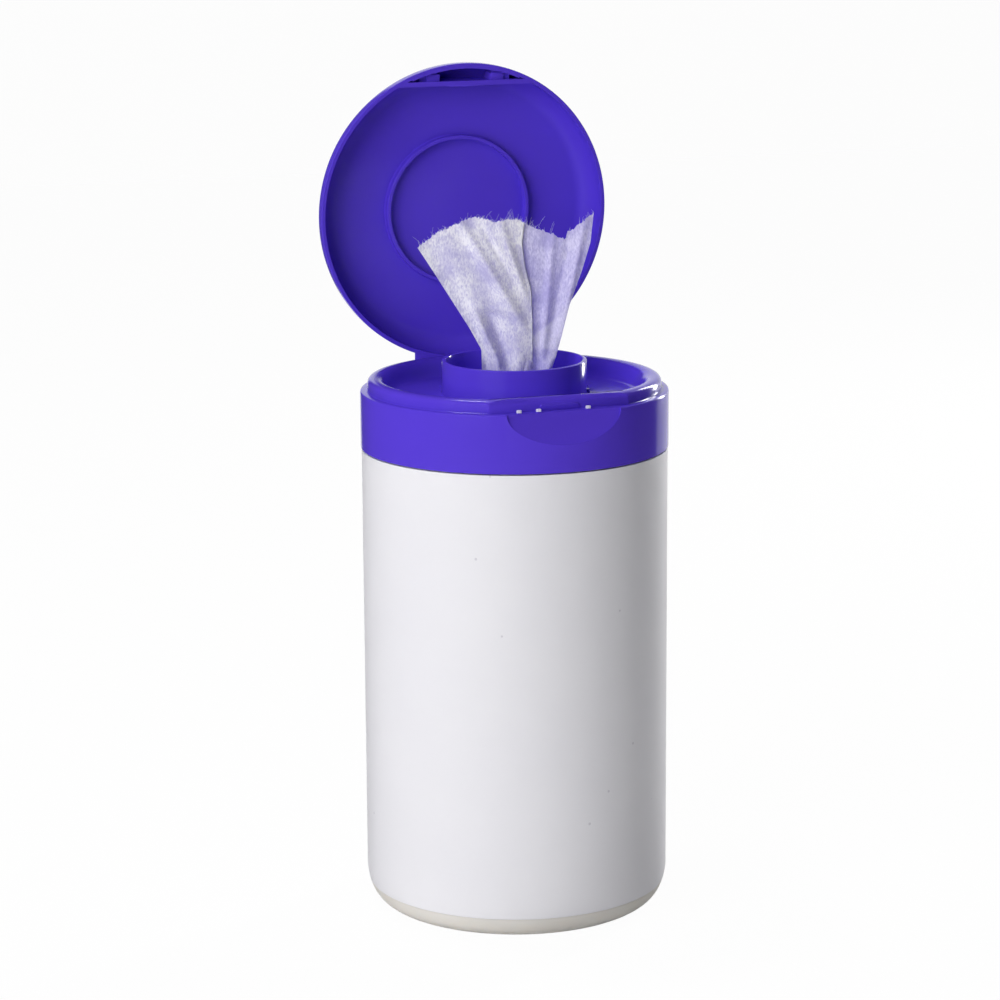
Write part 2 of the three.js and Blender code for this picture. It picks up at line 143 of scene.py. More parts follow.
def place_camera():
    back = Vector((math.sin(CAMERA_AZIMUTH) * math.cos(CAMERA_ELEVATION),
                   -math.cos(CAMERA_AZIMUTH) * math.cos(CAMERA_ELEVATION), math.sin(CAMERA_ELEVATION)))
    level = Vector((math.cos(CAMERA_AZIMUTH), math.sin(CAMERA_AZIMUTH), 0))
    upright = back.cross(level)
    right = math.cos(CAMERA_ROLL) * level + math.sin(CAMERA_ROLL) * upright
    up = -math.sin(CAMERA_ROLL) * level + math.cos(CAMERA_ROLL) * upright
    place = level * CAMERA_ASIDE + Vector((0, 0, CAMERA_AIM_HEIGHT)) + back * CAMERA_DISTANCE
    bpy.ops.object.camera_add()
    camera = bpy.context.object
    camera.matrix_world = Matrix((
        (right.x, up.x, back.x, place.x),
        (right.y, up.y, back.y, place.y),
        (right.z, up.z, back.z, place.z),
        (0, 0, 0, 1)))
    camera.data.sensor_width = 36
    camera.data.lens = CAMERA_LENS
    camera.data.clip_end = 20
    bpy.context.scene.camera = camera


# Modelling helpers
def nothing_selected():
    if bpy.context.object and bpy.context.object.mode != "OBJECT":
        bpy.ops.object.mode_set(mode="OBJECT")
    bpy.ops.object.select_all(action="DESELECT")


def only(piece):
    nothing_selected()
    piece.select_set(True)
    bpy.context.view_layer.objects.active = piece


def named(piece, name):
    piece.name = name
    piece.data.name = name
    return piece


def drawn_line(name, line, closed):
    """One vertex drawn on through [across, up] millimetres in the XZ plane, left in edit mode."""
    nothing_selected()
    bpy.ops.mesh.primitive_plane_add(size=MM, location=(line[0][0] * MM, 0, line[0][1] * MM))
    piece = named(bpy.context.object, name)
    bpy.ops.object.transform_apply(location=True, rotation=True, scale=True)
    bpy.ops.object.mode_set(mode="EDIT")
    bpy.ops.mesh.select_all(action="SELECT")
    bpy.ops.mesh.merge(type="CENTER")
    for (x0, z0), (x1, z1) in zip(line, line[1:]):
        step = ((x1 - x0) * MM, 0, (z1 - z0) * MM)
        bpy.ops.mesh.extrude_region_move(TRANSFORM_OT_translate={"value": step})
    if closed:
        bpy.ops.mesh.select_all(action="SELECT")
        bpy.ops.mesh.edge_face_add()
    return piece


def turned(name, profile):
    """A [radius, height] profile spun round the Z axis into a closed solid."""
    piece = drawn_line(name, profile, closed=False)
    bpy.ops.mesh.select_all(action="SELECT")
    bpy.ops.mesh.spin(steps=ROUND_STEPS, angle=math.tau, center=(0, 0, 0), axis=(0, 0, 1))
    bpy.ops.mesh.select_all(action="SELECT")
    bpy.ops.mesh.remove_doubles(threshold=MM * SAME_POINT)
    bpy.ops.mesh.normals_make_consistent(inside=False)
    bpy.ops.object.mode_set(mode="OBJECT")
    return piece


def ring(name, profile):
    return turned(name, [*profile, profile[0]])


def bar(name, outline, half_length):
    """A [y, z] outline run along X, as far as half_length to each side."""
    piece = drawn_line(name, outline, closed=True)
    bpy.ops.mesh.extrude_region_move(TRANSFORM_OT_translate={"value": (0, -2 * half_length * MM, 0)})
    bpy.ops.mesh.select_all(action="SELECT")
    bpy.ops.mesh.normals_make_consistent(inside=False)
    bpy.ops.object.mode_set(mode="OBJECT")
    piece.rotation_euler = (0, 0, math.radians(90))
    piece.location = (-half_length * MM, 0, 0)
    return applied(piece)


def applied(piece):
    only(piece)
    bpy.ops.object.transform_apply(location=True, rotation=True, scale=True)
    return piece


def block(name, x0, x1, y0, y1, z0, z1, edge=0.0):
    nothing_selected()
    middle = [(x0 + x1) / 2 * MM, (y0 + y1) / 2 * MM, (z0 + z1) / 2 * MM]
    bpy.ops.mesh.primitive_cube_add(size=1, location=middle)
    piece = named(bpy.context.object, name)
    piece.scale = ((x1 - x0) * MM, (y1 - y0) * MM, (z1 - z0) * MM)
    applied(piece)
    if edge:
        softened(piece, edge)
    return piece


def softened(piece, width, segments=2):
    only(piece)
    bpy.ops.object.modifier_add(type="BEVEL")
    bevel = piece.modifiers[-1]
    bevel.width = width * MM
    bevel.segments = segments
    bevel.limit_method = "ANGLE"
    bevel.angle_limit = math.radians(40)
    bpy.ops.object.modifier_apply(modifier=bevel.name)
    return piece


def combined(piece, tool, operation):
    """piece joined with, cut by or kept within tool, which is used up."""
    only(piece)
    bpy.ops.object.modifier_add(type="BOOLEAN")
    step = piece.modifiers[-1]
    step.operation = operation
    step.solver = "EXACT"
    step.object = tool
    bpy.ops.object.modifier_apply(modifier=step.name)
    bpy.data.objects.remove(tool, do_unlink=True)
    return piece


def joined(piece, tool):
    return combined(piece, tool, "UNION")


def cut(piece, tool):
    return combined(piece, tool, "DIFFERENCE")


def within(piece, tool):
    return combined(piece, tool, "INTERSECT")


def smoothed(piece):
    only(piece)
    bpy.ops.object.mode_set(mode="EDIT")
    bpy.ops.mesh.select_all(action="SELECT")
    bpy.ops.mesh.remove_doubles(threshold=MM * SAME_POINT)
    bpy.ops.object.mode_set(mode="OBJECT")
    bpy.ops.object.shade_smooth_by_angle(angle=math.radians(32))
    return piece


def curve(start, control, end, steps):
    return [((1 - t) ** 2 * start[0] + 2 * t * (1 - t) * control[0] + t * t * end[0],
             (1 - t) ** 2 * start[1] + 2 * t * (1 - t) * control[1] + t * t * end[1])
            for t in (k / steps for k in range(steps + 1))]


# Materials
def linear(hex_colour):
    """An sRGB hex colour as linear red, green, blue and full alpha."""
    parts = [int(hex_colour[i:i + 2], 16) / 255 for i in (1, 3, 5)]
    return [c / 12.92 if c <= 0.04045 else ((c + 0.055) / 1.055) ** 2.4 for c in parts] + [1]


def every(millimetres):
    """The scale of a pattern whose features lie about this far apart."""
    return 1 / (millimetres * MM)


def add_node(material, kind, settings=None, values=None, links=None):
    """Adds a node with its settings, its socket values and the outputs that feed its sockets."""
    node = material.node_tree.nodes.new(kind)
    for name, value in (settings or {}).items():
        setattr(node, name, value)
    for socket, value in (values or {}).items():
        node.inputs[socket].default_value = value
    for socket, output in (links or {}).items():
        material.node_tree.links.new(output, node.inputs[socket])
    return node


def new_material(name):
    material = bpy.data.materials.new(name)
    material.use_nodes = True
    return material, material.node_tree.nodes["Principled BSDF"]


def feed(material, output, socket):
    material.node_tree.links.new(output, socket)


def violet_polypropylene():
    """Injection-moulded polypropylene: even colour, glossy, a little waved by the mould and by shrinking."""
    material, shader = new_material("violet_polypropylene_moulded_gloss")
    shader.inputs["IOR"].default_value = 1.49
    shader.inputs["Roughness"].default_value = 0.16
    shader.inputs["Specular IOR Level"].default_value = 0.3
    place = add_node(material, "ShaderNodeTexCoord")
    # The torn ends of the tamper bridges, proud of the ledge in front, are whitened by stress
    spot = add_node(material, "ShaderNodeSeparateXYZ", links={"Vector": place.outputs["Object"]})
    front = add_node(material, "ShaderNodeMath", {"operation": "LESS_THAN"}, {1: -48.7 * MM},
                     {0: spot.outputs["Y"]})
    proud = add_node(material, "ShaderNodeMath", {"operation": "GREATER_THAN"}, {1: (LEDGE + 0.35) * MM},
                     {0: spot.outputs["Z"]})
    torn = add_node(material, "ShaderNodeMath", {"operation": "MULTIPLY"},
                    links={0: front.outputs[0], 1: proud.outputs[0]})
    colour = add_node(material, "ShaderNodeMix", {"data_type": "RGBA"},
                      {6: linear("#573DD3"), 7: linear("#D9D5F2")}, {0: torn.outputs[0]})
    feed(material, colour.outputs[2], shader.inputs["Base Color"])
    wave = add_node(material, "ShaderNodeTexNoise", values={"Scale": every(33.3), "Detail": 2.0},
                    links={"Vector": place.outputs["Object"]})
    bump = add_node(material, "ShaderNodeBump", values={"Strength": 0.12, "Distance": 0.6 * MM},
                    links={"Height": wave.outputs["Fac"]})
    feed(material, bump.outputs["Normal"], shader.inputs["Normal"])
    return material


def label_film():
    """White polypropylene film drawn tight round the bottle: satin, with faint waves and a few specks."""
    material, shader = new_material("white_film_label_satin")
    shader.inputs["IOR"].default_value = 1.49
    shader.inputs["Roughness"].default_value = 0.42
    place = add_node(material, "ShaderNodeTexCoord")
    wide = add_node(material, "ShaderNodeTexNoise", values={"Scale": every(35.7), "Detail": 3.0},
                    links={"Vector": place.outputs["Object"]})
    tone = add_node(material, "ShaderNodeMix", {"data_type": "RGBA"},
                    {6: linear("#F1F0F4"), 7: linear("#EBEAF0")}, {0: wide.outputs["Fac"]})
    # Each cell of 14 mm holds a speck of 1 mm at its point, which the surface seldom meets
    speck = add_node(material, "ShaderNodeTexVoronoi", values={"Scale": every(14.3)},
                     links={"Vector": place.outputs["Object"]})
    dot = add_node(material, "ShaderNodeMath", {"operation": "LESS_THAN"}, {1: 0.035},
                   {0: speck.outputs["Distance"]})
    tint = add_node(material, "ShaderNodeMix", {"data_type": "RGBA"}, {7: linear("#D9D7DF")},
                    {0: dot.outputs[0], 6: tone.outputs[2]})
    feed(material, tint.outputs[2], shader.inputs["Base Color"])
    bump = add_node(material, "ShaderNodeBump", values={"Strength": 0.25, "Distance": 0.8 * MM},
                    links={"Height": wide.outputs["Fac"]})
    feed(material, bump.outputs["Normal"], shader.inputs["Normal"])
    return material


def natural_polyethylene():
    """Blow-moulded natural polyethylene: milky cream, satin, light goes a little way in."""
    material, shader = new_material("natural_polyethylene_blow_moulded")
    shader.inputs["Base Color"].default_value = linear("#E6E2DC")
    shader.inputs["IOR"].default_value = 1.54
    shader.inputs["Roughness"].default_value = 0.4
    shader.inputs["Subsurface Weight"].default_value = 0.25
    shader.inputs["Subsurface Radius"].default_value = (3 * MM, 2.5 * MM, 2 * MM)
    shader.inputs["Subsurface Scale"].default_value = 1.0
    return material


def nonwoven(name, see_through):
    """Spunlace nonwoven: matt white fibres, some light through, and see-through where it is thin."""
    material, shader = new_material(name)
    tree = material.node_tree
    tree.nodes.remove(shader)
    place = add_node(material, "ShaderNodeTexCoord")
    # Fibres are drawn about 0.6 mm apart and 1.3 mm long, far coarser than the real ones, so that they show
    stretched = add_node(material, "ShaderNodeMapping",
                         values={"Scale": (every(0.588), every(0.588), every(1.333))},
                         links={"Vector": place.outputs["Object"]})
    fibres = add_node(material, "ShaderNodeTexNoise", values={"Scale": 1.0, "Detail": 3.0, "Roughness": 0.6},
                      links={"Vector": stretched.outputs[0]})
    cloud = add_node(material, "ShaderNodeTexNoise", values={"Scale": every(8.33), "Detail": 3.0},
                     links={"Vector": place.outputs["Object"]})
    both = add_node(material, "ShaderNodeMath", {"operation": "MULTIPLY"},
                    links={0: fibres.outputs["Fac"], 1: cloud.outputs["Fac"]})
    thin = add_node(material, "ShaderNodeMapRange",
                    values={"From Min": 0.12, "From Max": 0.4, "To Min": see_through, "To Max": 0.0},
                    links={"Value": both.outputs[0]})
    bump = add_node(material, "ShaderNodeBump", values={"Strength": 0.85, "Distance": 0.5 * MM},
                    links={"Height": both.outputs[0]})
    # Right of the fold the sheet is one wet layer; its bluer tone is painted, standing in for the violet
    # plastic seen through it
    sheet_map = add_node(material, "ShaderNodeSeparateXYZ", links={"Vector": place.outputs["UV"]})
    painted_see_through_share = add_node(material, "ShaderNodeMapRange", values={"From Min": 0.56, "From Max": 0.64},
                      links={"Value": sheet_map.outputs["X"]})
    tone = add_node(material, "ShaderNodeMix", {"data_type": "RGBA"},
                    {6: linear("#FAF9FD"), 7: linear("#E2DEF9")}, {0: painted_see_through_share.outputs[0]})
    # Where the fibres are sparse the sheet is painted darker violet: painted shade in the gaps and the violet
    # plastic behind showing through
    painted_gap_shade = add_node(material, "ShaderNodeMapRange",
                       values={"From Min": 0.14, "From Max": 0.33, "To Min": 0.55, "To Max": 0.0},
                       links={"Value": both.outputs[0]})
    tint = add_node(material, "ShaderNodeMix", {"data_type": "RGBA"}, {7: linear("#A69EDC")},
                    {0: painted_gap_shade.outputs[0], 6: tone.outputs[2]})
    face = add_node(material, "ShaderNodeBsdfDiffuse",
                    links={"Color": tint.outputs[2], "Normal": bump.outputs["Normal"]})
    through = add_node(material, "ShaderNodeBsdfTranslucent",
                       links={"Color": tint.outputs[2], "Normal": bump.outputs["Normal"]})
    cloth = add_node(material, "ShaderNodeMixShader", values={0: 0.15},
                     links={1: face.outputs[0], 2: through.outputs[0]})
    clear = add_node(material, "ShaderNodeBsdfTransparent")
    whole = add_node(material, "ShaderNodeMixShader",
                     links={0: thin.outputs[0], 1: cloth.outputs[0], 2: clear.outputs[0]})
    feed(material, whole.outputs[0], tree.nodes["Material Output"].inputs["Surface"])
    return material


# Bottle and label
def body_corner(inset):
    """The body's outline from the base round the foot to the straight wall, inset by a depth."""
    toe = (FOOT_RADIUS + 0.85 * (BODY_RADIUS - FOOT_RADIUS), 1.5)
    outline = curve((FOOT_RADIUS, 0), toe, (BODY_RADIUS, FOOT_RISE), 16)
    return [(radius - inset, height) for radius, height in outline]


def above(line, low):
    kept = [point for point in line if point[1] > low]
    first = line[len(line) - len(kept) - 1]
    share = (low - first[1]) / (kept[0][1] - first[1])
    return [(first[0] + (kept[0][0] - first[0]) * share, low), *kept]


def below(line, high):
    kept = [point for point in line if point[1] < high]
    after = line[len(kept)]
    share = (high - kept[-1][1]) / (after[1] - kept[-1][1])
    return [*kept, (kept[-1][0] + (after[0] - kept[-1][0]) * share, high)]


def make_canister():
    foot = [(0, BASE_RECESS), (38, BASE_RECESS), (41, 0), *below(body_corner(0), LABEL_RECESS_FOOT)]
    wall = [*above(body_corner(LABEL_RECESS), LABEL_RECESS_FOOT), (BODY_RADIUS - LABEL_RECESS, SHOULDER)]
    neck = [(NECK_RADIUS, SHOULDER + 0.1), (NECK_RADIUS, 172), (NECK_BEAD_RADIUS, 172.6),
            (NECK_BEAD_RADIUS, 173.6), (NECK_RADIUS, 174.2), (NECK_RADIUS, NECK_TOP - 0.2),
            (NECK_RADIUS - 0.2, NECK_TOP), (NECK_INNER + 0.2, NECK_TOP), (NECK_INNER, NECK_TOP - 0.2),
            (NECK_INNER, 166.1)]
    corner = curve((BOTTLE_INNER, FOOT_RISE), (BOTTLE_INNER - 1.5, 3.2), (44.7, BASE_INSIDE), 8)
    inside = [(BOTTLE_INNER, 165), *corner, (0, BASE_INSIDE)]
    return smoothed(turned("canister_bottle", [*foot, *wall, *neck, *inside]))


def label_side(inset):
    straight = [(BODY_RADIUS - inset, height) for height in (60, 120, SHOULDER)]
    return above([*body_corner(inset), *straight], LABEL_FOOT)


def make_label():
    return smoothed(ring("label_film_sleeve", [*label_side(0), *reversed(label_side(LABEL_THICKNESS))]))


# Closure
# The raised rim from the ledge over its crest down to the deck, as [inward, above the ledge]
RIM_CREST = [(0, 0.25), (0.1, 2.4), (0.32, 3.3), (0.8, 3.95), (1.5, 4.36), (2.3, 4.5), (3.2, 4.46),
             (4.1, 4.3), (5.0, 3.85), (5.7, 3.2), (6.5, 2.1), (7.1, 1.08), (7.7, 0.0), (8.4, -0.95),
             (9.1, -1.55), (9.9, -1.8)]


def round_rim():
    return [(RIM_RADIUS - inward, LEDGE + up) for inward, up in RIM_CREST]


def straight_rim():
    return [(FRONT_WALL + inward, LEDGE + up) for inward, up in RIM_CREST]


def closure_section():
    """The moulding's half section, without its straight front: round the outside, then back underneath."""
    collar_inner = COLLAR_RADIUS - PLASTIC
    skirt = [(SKIRT_INNER, SKIRT_BOTTOM), (SKIRT_RADIUS - 0.25, SKIRT_BOTTOM),
             (SKIRT_RADIUS, SKIRT_BOTTOM + 0.25), (SKIRT_RADIUS, LEDGE - 0.75), (54.93, LEDGE - 0.4),
             (54.72, LEDGE - 0.12), (54.4, LEDGE), (RIM_RADIUS + 0.3, LEDGE)]
    collar = [(COLLAR_RADIUS + 1.1, DECK), (COLLAR_RADIUS + 0.3, DECK + 0.3), (COLLAR_RADIUS, DECK + 1.1),
              (COLLAR_RADIUS, COLLAR_TOP - COLLAR_EDGE), (COLLAR_RADIUS - 0.12, COLLAR_TOP - 0.12),
              (COLLAR_RADIUS - COLLAR_EDGE, COLLAR_TOP), (collar_inner + COLLAR_EDGE, COLLAR_TOP),
              (collar_inner + 0.12, COLLAR_TOP - 0.12), (collar_inner, COLLAR_TOP - COLLAR_EDGE),
              (collar_inner, DECK + 0.5), (collar_inner - 0.5, DECK)]
    orifice = [(ORIFICE_RADIUS + 0.3, DECK), (ORIFICE_RADIUS, DECK - 0.3), (ORIFICE_RADIUS, DECK_UNDER)]
    rim_hollow = [(44.1, DECK_UNDER), (45.6, 187), (48.1, 190.7), (49.3, RIM_HOLLOW_TOP),
                  (50.4, RIM_HOLLOW_TOP), (50.9, 190.9), (50.9, LEDGE - PLASTIC)]
    skirt_bead = [(SKIRT_INNER, LEDGE - PLASTIC), (SKIRT_INNER, 171.5), (SKIRT_BEAD_RADIUS, 170.9),
                  (SKIRT_BEAD_RADIUS, 169.9), (SKIRT_INNER, 169.3)]
    return [*skirt, *round_rim(), *collar, *orifice, *rim_hollow, *skirt_bead]


def plug():
    """The ring that seals in the neck, with the stop that seats on its top."""
    return ring("plug", [(PLUG_INNER, PLUG_FOOT), (PLUG_RADIUS, PLUG_FOOT), (PLUG_RADIUS, STOP_FOOT),
                         (STOP_RADIUS, STOP_FOOT), (STOP_RADIUS, STOP_TOP), (PLUG_RADIUS, STOP_TOP),
                         (PLUG_RADIUS, 186.9), (51.3, 186.9), (51.3, RIM_HOLLOW_TOP),
                         (PLUG_INNER, RIM_HOLLOW_TOP + 0.4)])


def front_rim():
    rim_bar = bar("front_rim", [*straight_rim(), (FRONT_WALL + 9.9, DECK_UNDER), (FRONT_WALL, DECK_UNDER)],
                  FAR)
    outer_wall = round_rim()[:6]
    envelope = [(0, DECK_UNDER), (RIM_RADIUS, DECK_UNDER), *outer_wall, (0, RIM_TOP)]
    return within(rim_bar, turned("rim_envelope", envelope))


def front_ledge():
    ledge = turned("front_ledge", [(0, LEDGE - 1.5), (53.6, LEDGE - 1.5), (53.6, LEDGE - 0.01),
                                   (0, LEDGE - 0.01)])
    return within(ledge, block("front_half", -FAR, FAR, -FAR, FRONT_WALL + PLASTIC, 0, FAR * 3))


def pocket_floor(inward):
    """The thumb pocket's floor seen from the side, from the ledge down to the skirt's face."""
    return curve((POCKET_TOP_Y + inward, LEDGE), (POCKET_BELLY_Y + inward, LEDGE - 4.5),
                 (POCKET_FOOT_Y + inward, LEDGE - POCKET_DROP), 16)


def pocket_back():
    backing = bar("pocket_back", [*pocket_floor(-0.4), *reversed(pocket_floor(PLASTIC))], 22.4)
    inside_skirt = [(0, 160), (54.6, 160), (54.6, LEDGE - 0.5), (0, LEDGE - 0.5)]
    return within(backing, turned("inside_skirt", inside_skirt))


def pocket_hollow():
    """Half an ellipse seen from the front, as deep as the pocket's floor lets it."""
    nothing_selected()
    bpy.ops.mesh.primitive_cylinder_add(
        vertices=160, radius=1, depth=FAR * MM, end_fill_type="NGON",
        location=(0, -FAR * MM / 2, LEDGE * MM), rotation=(math.radians(90), 0, 0))
    drum = bpy.context.object
    drum.scale = (POCKET_HALF_WIDTH * MM, POCKET_DROP * MM, 1)
    applied(drum)
    front = bar("pocket_front", [(POCKET_TOP_Y, LEDGE + FAR), *pocket_floor(0), (-FAR, LEDGE - POCKET_DROP),
                                 (-FAR, LEDGE + FAR)], FAR)
    return within(drum, front)


def front_catch():
    """The catch that the lid's bead snaps over: a low wedge, wider at its foot."""
    wedge = block("front_catch", -CATCH_FOOT_HALF, CATCH_FOOT_HALF, FRONT_WALL - 0.6, FRONT_WALL + 0.4,
                  LEDGE - 0.2, LEDGE + 2.2)
    for vertex in wedge.data.vertices:
        if vertex.co.z > LEDGE * MM:
            vertex.co.x *= CATCH_TOP_HALF / CATCH_FOOT_HALF
        elif vertex.co.y < FRONT_WALL * MM:
            vertex.co.y = (FRONT_WALL - 0.05) * MM
    return softened(wedge, 0.22, segments=3)


def collar_lug():
    lug = block("collar_lug", COLLAR_RADIUS - 0.6, COLLAR_RADIUS + 1.0, -1.6, 1.6,
                DECK - 0.3, DECK + 1.5, 0.3)
    lug.rotation_euler = (0, 0, math.atan2(-0.34, 0.94))
    return applied(lug)


def hinge_plate(name, low, hole_radius):
    plate = block(name, -PLATE_HALF_WIDTH, PLATE_HALF_WIDTH, PLATE_ROOT_Y, HINGE_Y - 0.6,
                  low, low + PLATE_THICKNESS, 0.2)
    hole = turned("plate_hole", [(0, low - 5), (hole_radius, low - 5), (hole_radius, low + 5), (0, low + 5)])
    return cut(plate, hole)


def make_closure():
    body = ring("closure_moulding", closure_section())
    body = joined(body, plug())
    # Cuts stop 0.3 or 0.01 mm clear of walls and faces, because a Boolean fails where two faces coincide
    front_space = block("front_space", -FAR, FAR, -FAR, FRONT_WALL + 0.3, LEDGE + 0.01, LEDGE + FAR)
    body = cut(body, front_space)
    for part in (front_rim(), front_ledge(), pocket_back()):
        body = joined(body, part)
    body = cut(body, pocket_hollow())
    body = joined(body, front_catch())
    for x in STUB_PLACES:
        body = joined(body, block("torn_stub", x - STUB_HALF_WIDTH, x + STUB_HALF_WIDTH, -49.95, -48.85,
                                  LEDGE - 0.4, LEDGE + 1.3, 0.25))
    body = joined(body, hinge_plate("lower_plate", LEDGE - PLATE_THICKNESS, SKIRT_INNER - 0.4))
    body = joined(body, collar_lug())
    for turn in range(3):
        slit = block("orifice_slit", -SLIT_REACH, SLIT_REACH, -SLIT_HALF_WIDTH, SLIT_HALF_WIDTH,
                     DECK_UNDER - 0.4, DECK + 0.4)
        slit.rotation_euler = (0, 0, math.radians(60 * turn))
        body = cut(body, applied(slit))
    return smoothed(body)


# Lid, made shut and then opened about its hinge
def lid_line(inset):
    """The lid's wall from the rim up round the corner to the top, inset by a depth."""
    steps = 12
    centre = (LID_RADIUS - LID_CORNER, LID_RIM + 2.5)
    across = LID_CORNER - inset
    up = LID_TOP - LID_CROWN - centre[1] - inset
    return [(centre[0] + across * math.cos(t), centre[1] + up * math.sin(t))
            for t in (math.pi / 2 * k / steps for k in range(steps + 1))]


def seal_ring():
    """The ring that grips the collar's outside when the lid is shut."""
    under = LID_TOP - LID_CROWN - LID_WALL
    inner = COLLAR_RADIUS + 0.37
    return ring("seal_ring", [
        (inner, under + 1), (inner, under - 2.6), (inner + 0.2, under - 2.8), (inner + 1.2, under - 2.8),
        (inner + 1.4, under - 2.6), (inner + 1.4, under - 0.1), (inner + 1.8, under + 0.35),
        (inner + 1.8, under + 1)])


def lid_front():
    """What stands at the lid's front: the chord wall, the lip before it, its blocks and its tabs."""
    outer_y = CHORD_Y - CHORD_WALL
    front = block("chord_wall", -FAR, FAR, outer_y, CHORD_Y, LID_RIM, LID_TOP)
    lip = ring("front_lip", [(53.1, LID_RIM), (54.6, LID_RIM), (54.6, LID_TOP), (53.1, LID_TOP)])
    lip = within(lip, block("lip_reach", -LIP_HALF_WIDTH, LIP_HALF_WIDTH, -FAR, CHORD_Y, 0, LID_TOP))
    front = joined(front, lip)
    for side in (-1, 1):
        left, right = sorted((side * 10.4, side * 17.3))
        front = joined(front, block("lip_block", left, right, -FAR, outer_y + 0.4, LID_RIM + 2.2, LID_TOP))
        left, right = sorted((side * 9.8, side * 14.8))
        front = joined(front, block("lip_tab", left, right, outer_y - 2.5, outer_y + 0.4,
                                    LID_RIM + 1.4, LID_TOP, 0.1))
    envelope = turned("lid_inside", [(0, LID_RIM), (54.25, LID_RIM), *lid_line(0.75), (0, LID_TOP - 0.75)])
    return within(front, envelope)


def make_lid():
    inside = [(0, LID_TOP - LID_WALL), *reversed(lid_line(LID_WALL)), (LID_INNER, LID_RIM + 0.15)]
    rim = [(LID_INNER + 0.15, LID_RIM), (LID_RADIUS - 0.2, LID_RIM), (LID_RADIUS, LID_RIM + 0.2)]
    body = turned("lid_moulding", [*inside, *rim, *lid_line(0), (0, LID_TOP)])
    latch_bead = block("latch_bead", -6.7, 6.7, CHORD_Y - 0.4, CHORD_Y + 0.3, LID_RIM, LID_RIM + 0.8, 0.15)
    for part in (seal_ring(), lid_front(), latch_bead, hinge_plate("upper_plate", LID_RIM, LID_INNER)):
        body = joined(body, part)
    hinge = Matrix.Translation((0, HINGE_Y * MM, HINGE_Z * MM))
    swing = Matrix.Rotation(-math.radians(OPEN_DEGREES), 4, "X")
    body.matrix_world = hinge @ swing @ hinge.inverted()
    return smoothed(applied(body))


def make_hinge_strap():
    """Film hinge: a strip from the lower plate's end to the upper one's, thin where it bends."""
    path = [(55.2, 187.9), (55.6, 187.95), (55.9, 188.15), (56.06, 188.5), (56.1, 188.9),
            (56.1, 189.3), (56.12, 189.7), (56.15, 190.1)]
    strip = bar("film_hinge", [*path, *[(y + 0.02, z) for y, z in reversed(path)]], PLATE_HALF_WIDTH - 0.4)
    only(strip)
    bpy.ops.object.modifier_add(type="SOLIDIFY")
    strip.modifiers[-1].thickness = 0.35 * MM
    bpy.ops.object.modifier_apply(modifier=strip.modifiers[-1].name)
    return smoothed(strip)


# Pulled wipe, in a plane that faces the camera: its edges and fold as [height, across]
WIPE_LEFT = [(150, -4.6), (187.7, -4.8), (194.9, -11.5), (202.3, -11.7), (210.1, -15.9), (220.2, -22.2),
             (230.2, -28.4), (239.1, -34), (251, -34)]
WIPE_RIGHT = [(150, 4.6), (187.7, 4.8), (195.1, 13.4), (199.3, 14.9), (207, 17), (217.5, 19.6), (229.9, 24.1),
              (240.2, 27.2), (251, 28.4)]
WIPE_FOLD = [(150, 1.5), (187.7, 2.5), (194.8, 6.7), (214.3, 6.7), (223.2, 6.4), (232.1, 4.3), (240.3, 3.3),
             (250, 4.4)]
# The torn edge as [across, height]
WIPE_TOP = [(-34, 239.1), (-27.7, 243.7), (-22.1, 246.5), (-18.2, 248.4), (-14.3, 249.6), (-10, 249.3),
            (-6.9, 247.8), (-3, 248.5), (0.9, 248.6), (4.2, 247.5), (7.6, 246), (11.4, 244.5), (19, 241.5),
            (19.6, 243.9), (22.7, 245.9), (25.2, 248.3), (28.2, 250.8)]
# Crests of the folds: from [across, height], to [across, height], how proud and how wide
WIPE_CRESTS = [((-17, 245), (1.5, 214), 2.2, 2.0), ((-13.5, 215), (-3, 193), 2.0, 1.5),
               ((-4, 246), (4, 222), 1.3, 1.5), ((-11, 246), (-1, 228), -1.0, 1.2),
               ((-9, 216), (-3, 200), -2.8, 2.6), ((-14, 219), (-3, 216), 1.5, 1.6),
               ((14, 243), (10, 196), 1.3, 1.5), ((20, 244), (13, 205), -1.0, 1.6),
               ((25, 247), (18, 212), 1.2, 1.3)]
WIPE_FOOT = 150
WIPE_ACROSS = 170
WIPE_UP = 120
# Shares of the sheet's width: in front of the fold up to the first, behind it from the second
FRONT_SHARE = 0.52
BACK_SHARE = 0.62
# The strand opens above the orifice, and below STRAND_TOP it stays within STRAND_RADIUS
OPENS_AT = 187
OPENS_OVER = 14
STRAND_TOP = 188
STRAND_RADIUS = 5.1
# How far the folds may stand before and behind the wipe's plane
WIPE_FRONT = -7.4
WIPE_BACK = 10.5


def along(table, at):
    for (a0, b0), (a1, b1) in zip(table, table[1:]):
        if at <= a1:
            return b0 + (b1 - b0) * max(0, (at - a0) / (a1 - a0))
    return table[-1][1]


def spread(u, left, right, fold):
    """Where u lies between the edges, and its layer: -1 in front of the fold, 1 behind it."""
    tuck = 0.22 * (fold - left)
    if u < FRONT_SHARE:
        return left + (fold - left) * u / FRONT_SHARE, -1.0
    if u < BACK_SHARE:
        t = (u - FRONT_SHARE) / (BACK_SHARE - FRONT_SHARE)
        return fold - tuck * math.sin(t * math.pi / 2), -1.0 + 2.0 * t
    return fold - tuck + (right - fold + tuck) * (u - BACK_SHARE) / (1 - BACK_SHARE), 1.0


def crest_depth(across, height):
    """How far the crests carry this point of the sheet towards the camera."""
    total = 0
    for (x0, z0), (x1, z1), proud, wide in WIPE_CRESTS:
        dx, dz = x1 - x0, z1 - z0
        length = math.hypot(dx, dz)
        off = ((across - x0) * dz - (height - z0) * dx) / length
        share = ((across - x0) * dx + (height - z0) * dz) / length ** 2
        if -0.25 < share < 1.25:
            reach = math.cos((share - 0.5) / 0.75 * math.pi / 2)
            total += proud * reach * math.exp(-(off / wide) ** 2)
    return total


